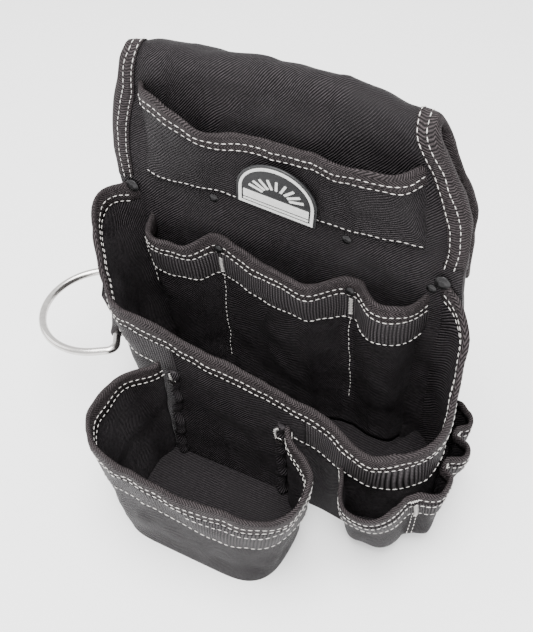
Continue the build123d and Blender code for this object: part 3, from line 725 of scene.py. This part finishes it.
columns = np.linspace(-1, 1, 61)
outer_rows = [panel_at(1, share) for share in columns]
inner_rows = [panel_at(1, share, 0.0, -panel_ply) for share in columns]
panel_loops = np.concatenate([np.array(outer_rows), np.array(inner_rows)[:, ::-1]], 1)
panel_across = list(panel_run) + list(2 * panel_run[-1] - panel_run[::-1])
panel_piece = lofted("panel_cloth", panel_loops, panel_across, columns * 125 * mm, black_nylon)
finished(panel_piece, "heavy_cloth", "back_panel")

bound = panel_run > 204 * mm
edge_profile = [(14, 0.35), (13.5, 1.0), (7, 1.3), (2, 1.2), (0.3, 0.8), (-0.8, -0.3), (-1.1, -2.4),
                (-0.8, -4.4), (0.3, -5.4), (2, -5.8), (7, -5.9), (13.5, -5.7), (14, -5.0), (1, -4.8),
                (-0.2, -2.4), (1, 0.1)]
for name, side in (("left", -1), ("right", 1)):
    rings = [panel_at(side, 1, inset * mm, out * mm, bound) for inset, out in edge_profile]
    across = [k * 1.9 * mm for k in range(len(edge_profile))]
    tape = lofted("panel_tape_" + name, np.stack(rings, 1), across, panel_run[bound], black_tape)
    finished(tape, "binding_tape", "panel_binding_" + name)
    seams = [panel_at(side, 1, inset * mm, 1.55 * mm, bound) for inset in (5.5, 12.0)]
    finished(threaded("panel_edge_stitches_" + name, seams, seam_stitches), "binding_tape")

hem_rows = panel_run > panel_run[-1] - 16 * mm
hem_seams = []
for drop in (4 * mm, 11 * mm):
    row = int(np.argmin(np.abs(panel_run - (panel_run[-1] - drop))))
    hem_seams.append(np.array([panel_at(1, share, 0, 0.4 * mm, slice(row, row + 1))[0]
                               for share in np.linspace(-0.97, 0.97, 60)]))
finished(threaded("panel_hem_stitches", hem_seams, seam_stitches), "heavy_cloth")

# ======== Upper pocket ========
# A flat patch pocket on the panel. Two slack folds stand its mouth open left and right, and it lies
# flat behind the badge. Its hem is bound, and its foot is sewn to the panel.
upper_wall = Wall(213, ([(-113, 60), (-104, 42.2), (-50, 40.9), (-28, 41.4), (30, 41.4), (56, 40.9),
                         (104, 42.2), (112, 60)], [8, 12, 12, 14, 12, 8]),
                  302, ([(-104, 60), (-95, 36), (-50, 21), (-28, 34.5), (30, 34.5), (56, 16), (78, 18),
                         (104, 60)], [8, 12, 12, 14, 12, 12]), behind_panel, soften=8)


def upper_rim_rule(x, y):
    return np.interp(x, [-200, -86, -40, 10, 60, 200], [292, 289, 270, 269, 275, 276])


upper_rim = upper_wall.rim(upper_rim_rule)
upper_piece = wall_piece("upper_pocket_wall", upper_wall, 213 * mm, upper_rim, cloth, black_nylon, rows=18)
finished(upper_piece, "heavy_cloth", "upper_pocket")
cut_from_cloth(upper_piece, upper_wall, 213 * mm, upper_rim, "gathered", panel_piece.name)
finished(banded("upper_pocket_tape", upper_wall, upper_rim, folded_tape(12), black_tape),
         "binding_tape", "upper_pocket_binding")
foot_line = np.full(upper_wall.run.shape, 216.5 * mm)
upper_seams = seam_rows(upper_wall, upper_rim, (5.5, 10.6), tape_face, in_front)
upper_seams += seam_rows(upper_wall, foot_line, (0,), 0.35, in_front)
finished(threaded("upper_pocket_stitches", upper_seams, seam_stitches), "binding_tape")

# ======== Badge ========
# A moulded rubber half oval under the pocket's hem, black with a raised white border, a plain bar and
# a fan of short strokes.
def plain(name, colour, roughness, grain=0.0, metallic=0.0, scale=400.0):
    """A smooth material, its colour and roughness broken up by a fine grain."""
    material, tree, shader = blank(name)
    shader.inputs["Metallic"].default_value = metallic
    speck = speckled(tree, scale, 4.0)
    shade = [part * 0.72 for part in colour]
    tree.links.new(mixed(tree, speck, colour, shade), shader.inputs["Base Color"])
    rough = ranged(tree, speck, 0.0, 1.0, roughness * 0.75, roughness * 1.25)
    tree.links.new(rough, shader.inputs["Roughness"])
    relief(tree, shader, speck, grain)
    return material


badge_rubber = plain("badge_rubber", (0.012, 0.012, 0.013), 0.45, 0.05 * mm)
badge_white = plain("badge_white", (0.72, 0.72, 0.7), 0.5, 0.04 * mm)
lean, turn = radians(7), radians(-8)
badge_up = Vector((0, -sin(lean), cos(lean)))
badge_out = Vector((0, -cos(lean), -sin(lean)))
badge_along = Vector((1, 0, 0)) * cos(turn) + badge_up * sin(turn)
badge_up = badge_up * cos(turn) - Vector((1, 0, 0)) * sin(turn)
badge_foot = Vector((1, 40.4, 213.5)) * mm


def half_oval(width, height, shoulder, steps=28):
    """Outline of a half oval that stands on a straight foot."""
    rise = height - shoulder
    arch = [(width / 2 * cos(a), shoulder + rise * sin(a)) for a in np.linspace(0, pi, steps)]
    return [(width / 2, 0), *arch, (-width / 2, 0)]


def badge_part(name, shapes, low, high, material):
    """Raised shapes on the badge: each an outline, or a pair of outlines with the space between."""
    made = bmesh.new()
    for shape in shapes:
        outer, inner = shape if isinstance(shape[0], list) else (shape, None)
        rings = [[made.verts.new((badge_foot + badge_along * a * mm + badge_up * b * mm
                                  + badge_out * c * mm)) for a, b in outline]
                 for c in (low, high) for outline in (outer, inner) if outline]
        count = len(outer)
        if inner is None:
            made.faces.new(rings[0])
            made.faces.new(rings[1])
            pairs = [(rings[0], rings[1])]
        else:
            pairs = [(rings[0], rings[2]), (rings[1], rings[3]), (rings[0], rings[1]), (rings[2], rings[3])]
        for first, second in pairs:
            for k in range(count):
                following = (k + 1) % count
                made.faces.new((first[k], first[following], second[following], second[k]))
    bmesh.ops.recalc_face_normals(made, faces=made.faces)
    return piece(name, made, material)


plate = badge_part("badge_plate", [half_oval(59, 43, 15)], 0.1, 1.7, badge_rubber)
soft_edge = plate.modifiers.new("edge", "BEVEL")
soft_edge.width, soft_edge.segments, soft_edge.limit_method = 0.5 * mm, 2, "ANGLE"
finished(plate, "badge_rubber", "name_badge")
border = [[(a, b + foot) for a, b in half_oval(width, height, shoulder)]
          for width, height, shoulder, foot in ((55, 39.5, 13, 1.6), (50.6, 35.2, 12.6, 3.6))]
bars = [[(-24, 8), (24, 8), (24, 14.5), (-24, 14.5)], [(-24, 5), (24, 5), (24, 6.6), (-24, 6.6)]]
strokes = []
for angle in np.linspace(radians(18), radians(162), 9):
    near, far, half = 7.5, 15.5, 0.9
    ahead, aside = np.array([cos(angle) * 1.35, sin(angle)]), np.array([-sin(angle), cos(angle)])
    start, end = np.array([0, 15.5]) + ahead * near, np.array([0, 15.5]) + ahead * far
    strokes.append([tuple(start - aside * half), tuple(end - aside * half), tuple(end + aside * half),
                    tuple(start + aside * half)])
finished(badge_part("badge_border", [border, *bars, *strokes], 1.6, 2.2, badge_white), "badge_rubber")

# ======== Inner tool pockets ========
# One pleated strip across the panel, sewn down at two dividers so that it makes three slots. Its rim
# is taped, with webbing below, and each divider ends in a bar tack.
inner_wall = Wall(40, ([(-110, 60), (-100, 34.1), (-64, 34.1), (-54, 39.1), (-42, 38.6), (2, 34.1),
                        (32, 33.1), (52, 38.6), (64, 39.1), (78, 34.1), (98, 34.1), (110, 60)],
                       [7, 8, 2, 2, 16, 8, 2, 2, 8, 7]),
                  187, ([(-116, 60), (-104, 18), (-62, 21), (-54, 39.1), (-42, 38.1), (2, 22), (32, 12),
                         (52, 38.1), (64, 39.1), (78, 20), (102, 20), (116, 60)],
                        [10, 9, 3, 3, 16, 9, 3, 3, 9, 10]), behind_panel, 3.0, soften=7)


def inner_rim_rule(x, y):
    return 175 + 2.0 * np.cos((x + 48) / 16) * (x < -20)


inner_rim = inner_wall.rim(inner_rim_rule)
inner_piece = wall_piece("inner_pocket_wall", inner_wall, 4 * mm, inner_rim, cloth, black_nylon, rows=34)
finished(inner_piece, "heavy_cloth", "inner_pocket_row")
cut_from_cloth(inner_piece, inner_wall, 4 * mm, inner_rim, "gathered", panel_piece.name)
finished(banded("inner_row_tape", inner_wall, inner_rim, rim_tape, black_tape),
         "binding_tape", "inner_row_binding")
finished(banded("inner_row_band", inner_wall, inner_rim, rim_band, black_webbing),
         "webbing_band", "inner_row_webbing")


def column(wall, x, levels, out):
    """A line up a wall at an x, found on its mouth outline."""
    index = int(np.argmin(np.abs(wall.high[:, 0] - x * mm)))
    return np.array([wall.at(level, out * mm)[index] for level in levels])


inner_seams = seam_rows(inner_wall, inner_rim, tape_rows, tape_face, in_front)
inner_seams += seam_rows(inner_wall, inner_rim, (36,), band_face, in_front)
for divider in (-48, 58):
    inner_seams.append(column(inner_wall, divider, np.linspace(44, 141, 40) * mm, 0.4))
inner_seams.append(column(inner_wall, -104, np.linspace(120, 168, 24) * mm, 1.9))
finished(threaded("inner_row_stitches", inner_seams, seam_stitches), "binding_tape")
tacks = [tack(column(inner_wall, divider, np.linspace(144, 160, 12) * mm, 1.6), (0, -1, 0), 2.6 * mm)
         for divider in (-48, 58)]
finished(threaded("inner_row_tacks", tacks, bar_tack), "binding_tape")

# ======== Side pockets ========
# A lighter strip round the front right corner and the right wall. It stands out as a corner pocket and
# three tool loops, and a T of bar tacks pins it to the wall between them.
def round_right(points):
    """Ends against the main front wall on the left and inside the panel at the back."""
    front = points[:, 0] < 98 * mm
    points[front, 1] = np.minimum(points[front, 1], main_front(points[front, 2]) + 0.5 * mm)
    return behind_panel(points)


side_wall = Wall(18, ([(70, 0), (90, -46), (100, -63), (128, -63), (137, -43), (143, -39), (153, -36),
                       (154, -17), (149, -12), (149, -3), (157, -1), (157, 13), (149, 17), (149, 26),
                       (156, 28), (152, 38), (116, 70)], [3, 12, 12, 2, 2, 6, 6, 2, 2, 5, 5, 2, 2, 4, 4]),
                 86, ([(70, 0), (88, -46), (98, -78), (128, -80), (139, -46), (145, -41), (161, -40),
                       (162, -17), (152, -12), (152, -3), (166, -1), (166, 14), (152, 17), (152, 26),
                       (163, 28), (157, 40), (118, 70)], [3, 12, 12, 2, 2, 6, 6, 2, 2, 6, 6, 2, 2, 5, 5]),
                 round_right, 2.5, soften=5)
side_cloth = 1.6 * mm


def side_rim_rule(x, y):
    return 72 + 1.5 * np.sin(y / 6.0) * (x > 140)


side_rim = side_wall.rim(side_rim_rule)
side_piece = wall_piece("side_pocket_wall", side_wall, 18 * mm, side_rim, side_cloth, black_nylon, rows=16)
finished(side_piece, "heavy_cloth", "side_pocket_row")
cut_from_cloth(side_piece, side_wall, 18 * mm, side_rim, "gathered", main_piece.name)
finished(floor_piece("side_pocket_floor", side_wall, 18 * mm, 2 * mm, -side_cloth), "heavy_cloth")
narrow_tape = [(8, 0.3), (7.5, 0.8), (4, 1.0), (1, 0.8), (-0.4, 0.3), (-0.9, -0.8), (-0.4, -1.9),
               (1, -2.4), (4, -2.5), (8, -2.4), (8, -1.9), (1, -1.8), (0.1, -0.8), (1, 0.1)]
finished(banded("side_pocket_tape", side_wall, side_rim, narrow_tape, black_tape),
         "binding_tape", "side_pocket_binding")
finished(banded("side_pocket_band", side_wall, side_rim, flat_band(7.8, 20), black_webbing),
         "webbing_band", "side_pocket_webbing")
side_seams = seam_rows(side_wall, side_rim, (4.5,), 1.15, in_front)
side_seams += seam_rows(side_wall, side_rim, (9.5, 18.5), 1.7, in_front)
side_tacks = []
for x, y in ((142, -43.5), (152, -7.5), (152, 21.5)):
    index = int(np.argmin(np.hypot(*(side_wall.high - np.array([x, y]) * mm).T)))
    ahead = side_wall.high[index + 1] - side_wall.high[index - 1]
    facing = (ahead[1], -ahead[0], 0) / np.linalg.norm(ahead)
    upright = np.array([side_wall.at(level, 1.9 * mm)[index] for level in np.linspace(51, 64, 10) * mm])
    level_bar = side_wall.at(side_rim - 4 * mm, 1.4 * mm)[index - 2:index + 3]
    side_tacks += [tack(upright, facing, 2.8 * mm), tack(level_bar, facing, 2.4 * mm)]
    for shift in (-1, 1):
        levels = np.linspace(22, 50, 14) * mm
        side_seams.append(np.array([side_wall.at(level, 0.6 * mm)[index + shift] for level in levels]))
finished(threaded("side_pocket_stitches", side_seams, seam_stitches, Stitch_pitch=4.2 * mm,
                  Stitch_length=3.3 * mm), "binding_tape")
finished(threaded("side_pocket_tacks", side_tacks, bar_tack), "binding_tape")

# ======== Rivets ========
# Two-part rivets at the points of load: domed gunmetal caps on the panel and the dividers, and bright
# nickel ones on the front pouch's seams.
gunmetal = plain("gunmetal", (0.045, 0.044, 0.045), 0.38, 0.03 * mm, metallic=1.0)
nickel = plain("nickel", (0.82, 0.8, 0.77), 0.2, 0.02 * mm, metallic=1.0)


def cap_shape():
    """A domed cap of unit radius with a rolled edge, standing on the ground plane."""
    cap = bmesh.new()
    outline = [(0, 0.42), (0.35, 0.4), (0.62, 0.33), (0.8, 0.23), (0.86, 0.2), (0.93, 0.21), (0.99, 0.14),
               (1.0, 0.06), (0.97, 0.0), (0.0, 0.0)]
    steps = 28
    turns = [2 * pi * k / steps for k in range(steps)]
    rings = [[cap.verts.new((r * cos(a), r * sin(a), z)) for a in turns] for r, z in outline[1:-1]]
    for low, high in zip(rings, rings[1:]):
        for k in range(steps):
            cap.faces.new((low[k], low[(k + 1) % steps], high[(k + 1) % steps], high[k]))
    cap.faces.new(rings[0])
    cap.faces.new(rings[-1])
    bmesh.ops.recalc_face_normals(cap, faces=cap.faces)
    for face in cap.faces:
        face.smooth = len(face.verts) == 4
    mesh = bpy.data.meshes.new("cap")
    cap.to_mesh(mesh)
    return bpy.data.objects.new("cap", mesh)


def cap_tree(cap, material):
    """Geometry nodes that set a cap on each place, facing the way it is told."""
    tree, given = new_tree("rivet_caps", "Places", [("Cap radius", 5.5 * mm)], "Caps")
    source = joined(tree, "GeometryNodeObjectInfo", {}, Object=cap).node.outputs["Geometry"]
    way = joined(tree, "GeometryNodeInputNamedAttribute", {"data_type": "FLOAT_VECTOR"}, Name="facing")
    laid = joined(tree, "GeometryNodeInstanceOnPoints", {}, Points=given["Places"], Instance=source,
                  Rotation=turned_to(tree, "Z", way), Scale=given["Cap radius"])
    return ended(tree, laid, material)


cap = cap_shape()


def riveted(name, places, radius, material):
    """Caps at pairs of a place on the cloth and the way it faces."""
    spots = relaxed(np.array([place for place, way in places]))
    mesh = bpy.data.meshes.new(name)
    mesh.from_pydata([tuple(p) for p in spots], [], [])
    ways = mesh.attributes.new("facing", "FLOAT_VECTOR", "POINT")
    for k, (place, way) in enumerate(places):
        ways.data[k].vector = way
    return laid_out(name, mesh, cap_tree(cap, material), Cap_radius=radius)


small_cap = 3.6 * mm
forward = (0, -1, 0)
backward = (0, 1, 0)
proud = panel_face - 2.2 * mm
panel_back = panel_face + panel_ply
hem_back = panel_back + panel_ply + 0.8 * mm
rim_places = [((-121 * mm, proud, 197 * mm), forward), ((121 * mm, proud, 193 * mm), forward)]
rim_places += [((-121 * mm, hem_back, 197 * mm), backward), ((121 * mm, hem_back, 193 * mm), backward)]
finished(riveted("rim_rivet_caps", rim_places, 5.5 * mm, gunmetal), "dark_rivets", "rim_rivets")
seam_places = [((x * mm, panel_face, 204 * mm), forward) for x in (-52, 52)]
seam_places += [((x * mm, hem_back, 204 * mm), backward) for x in (-52, 52)]
seam_places += [((113 * mm, panel_face, 183 * mm), forward)]
finished(riveted("seam_rivet_caps", seam_places, small_cap, gunmetal), "dark_rivets", "seam_rivets")
row_places = [((x * mm, 36.2 * mm, 168 * mm), forward) for x in (-48, 58)]
row_places += [((x * mm, panel_back, 168 * mm), backward) for x in (-48, 58)]
finished(riveted("inner_row_rivet_caps", row_places, small_cap, gunmetal), "dark_rivets", "inner_row_rivets")
neck_places = [((place, main_front(cap_level) - 4.0 * mm, cap_level), (0, -1, 0.1))
               for name, place, top, cap_level in welts]
finished(riveted("front_pouch_rivet_caps", neck_places, small_cap, nickel), "bright_rivets",
         "front_pouch_rivets")

# ======== Hammer ring ========
# A ring of plated quarter inch wire, bent round to a straight bar that turns in a loop of webbing.
# Both tails of the loop go up the left wall and are riveted through it.
ring = frame["nodes"]["hammer_ring"]
ring_steel = plain("ring_steel", (0.66, 0.64, 0.62), 0.24, 0.02 * mm, metallic=1.0, scale=260.0)
ring.data.materials.clear()
ring.data.materials.append(ring_steel)
for face in ring.data.polygons:
    face.use_smooth = True

wall_angle = radians(30.7)
wall_out = np.array([-cos(wall_angle), -sin(wall_angle), 0])
wall_along = np.array([-sin(wall_angle), cos(wall_angle), 0])
hinge = [joint for joint in frame["joints"] if joint["name"] == "hammer_ring_hinge"][0]
bar = np.array(hinge["pos_m"])
keeper_middle = bar - wall_along * 9 * mm
wall_slope = 0.1546
skin = -6.24 * mm
tail = 42 * mm
tail_lean = wall_slope * tail


def round_bar(radius, start, end):
    """Twenty places round the bar, between two angles in degrees."""
    return [(radius * cos(a), radius * sin(a)) for a in np.linspace(radians(start), radians(end), 20)]


loop_profile = [(skin + 3.6 * mm + tail_lean, tail), (skin + 4.6 * mm, 9 * mm)]
loop_profile += round_bar(5.3 * mm, 60, -205)
loop_profile += [(skin + 0.6 * mm, 9 * mm), (skin + tail_lean, tail)]
loop_profile += [(skin + 1.7 * mm + tail_lean, tail), (skin + 2.2 * mm, 7 * mm)]
loop_profile += round_bar(3.55 * mm, 150, 135)
loop_profile += [(skin + 2.6 * mm, 7 * mm), (skin + 1.9 * mm + tail_lean, tail)]
slices = []
for shift in np.linspace(-19, 19, 13) * mm:
    middle = keeper_middle + wall_along * shift
    slices.append([middle + wall_out * a + np.array([0, 0, b]) for a, b in loop_profile])
loop_run = np.linspace(0, 38 * mm, 13)
loop_across = [0.0]
for (a, b), (c, d) in zip(loop_profile, loop_profile[1:]):
    loop_across.append(loop_across[-1] + float(np.hypot(c - a, d - b)))
finished(lofted("ring_keeper_loop", relaxed(np.array(slices)), loop_across, loop_run, black_webbing),
         "webbing_band", "ring_keeper")
keeper_face = skin + 3.6 * mm + wall_slope * 27 * mm
keeper_spot = keeper_middle + wall_out * keeper_face + np.array([0, 0, 27 * mm])
keeper_way = tuple(wall_out + np.array([0, 0, -wall_slope]))
keeper_places = [(keeper_spot + wall_along * spread * mm, keeper_way) for spread in (-10, 10)]
finished(riveted("keeper_rivet_caps", keeper_places, small_cap, gunmetal), "dark_rivets", "keeper_rivets")

# ======== Floor, light and camera ========
# Pale ground under the bag, large soft lamps round it, and the camera above its front right.
def lamp(name, place, aim, size, power, colour=(1, 1, 1)):
    light = bpy.data.lights.new(name, "AREA")
    light.shape, light.size, light.energy, light.color = "DISK", size, power, colour
    made = bpy.data.objects.new(name, light)
    bpy.context.scene.collection.objects.link(made)
    made.location = place
    made.rotation_euler = (Vector(aim) - Vector(place)).to_track_quat("-Z", "Y").to_euler()


ground = bmesh.new()
bmesh.ops.create_grid(ground, x_segments=1, y_segments=1, size=6.0)
paper = bpy.data.materials.new("pale_ground")
paper.use_nodes = True
paper.node_tree.nodes["Principled BSDF"].inputs["Base Color"].default_value = (0.95, 0.95, 0.95, 1)
paper.node_tree.nodes["Principled BSDF"].inputs["Roughness"].default_value = 0.9
piece("ground", ground, paper)

lamp("key", (0.55, -0.85, 1.9), (0, 0, 0.12), 1.0, 40)
lamp("fill", (-1.4, -0.6, 1.2), (0, 0, 0.12), 1.4, 14)
lamp("top", (0.0, -0.1, 2.0), (0, 0, 0.1), 1.3, 62)
world = bpy.data.worlds.new("studio")
bpy.context.scene.world = world
world.use_nodes = True
world.node_tree.nodes["Background"].inputs[0].default_value = (1, 1, 1, 1)
world.node_tree.nodes["Background"].inputs[1].default_value = 1.6

azimuth, elevation, roll = radians(30), radians(47), radians(-4.4)
away = Vector((sin(azimuth) * cos(elevation), -cos(azimuth) * cos(elevation), sin(elevation)))
target = Vector((-15.5, 45, 99)) * mm
lens = bpy.data.cameras.new("camera")
lens.lens = 43.3
camera = bpy.data.objects.new("camera", lens)
bpy.context.scene.collection.objects.link(camera)
camera.location = target + away * 0.606
level = Vector((cos(azimuth), sin(azimuth), 0))
side_axis = level * cos(roll) + away.cross(level) * sin(roll)
camera.rotation_mode = "QUATERNION"
camera.rotation_quaternion = Matrix((side_axis, away.cross(side_axis), away)).transposed().to_quaternion()
bpy.context.scene.camera = camera
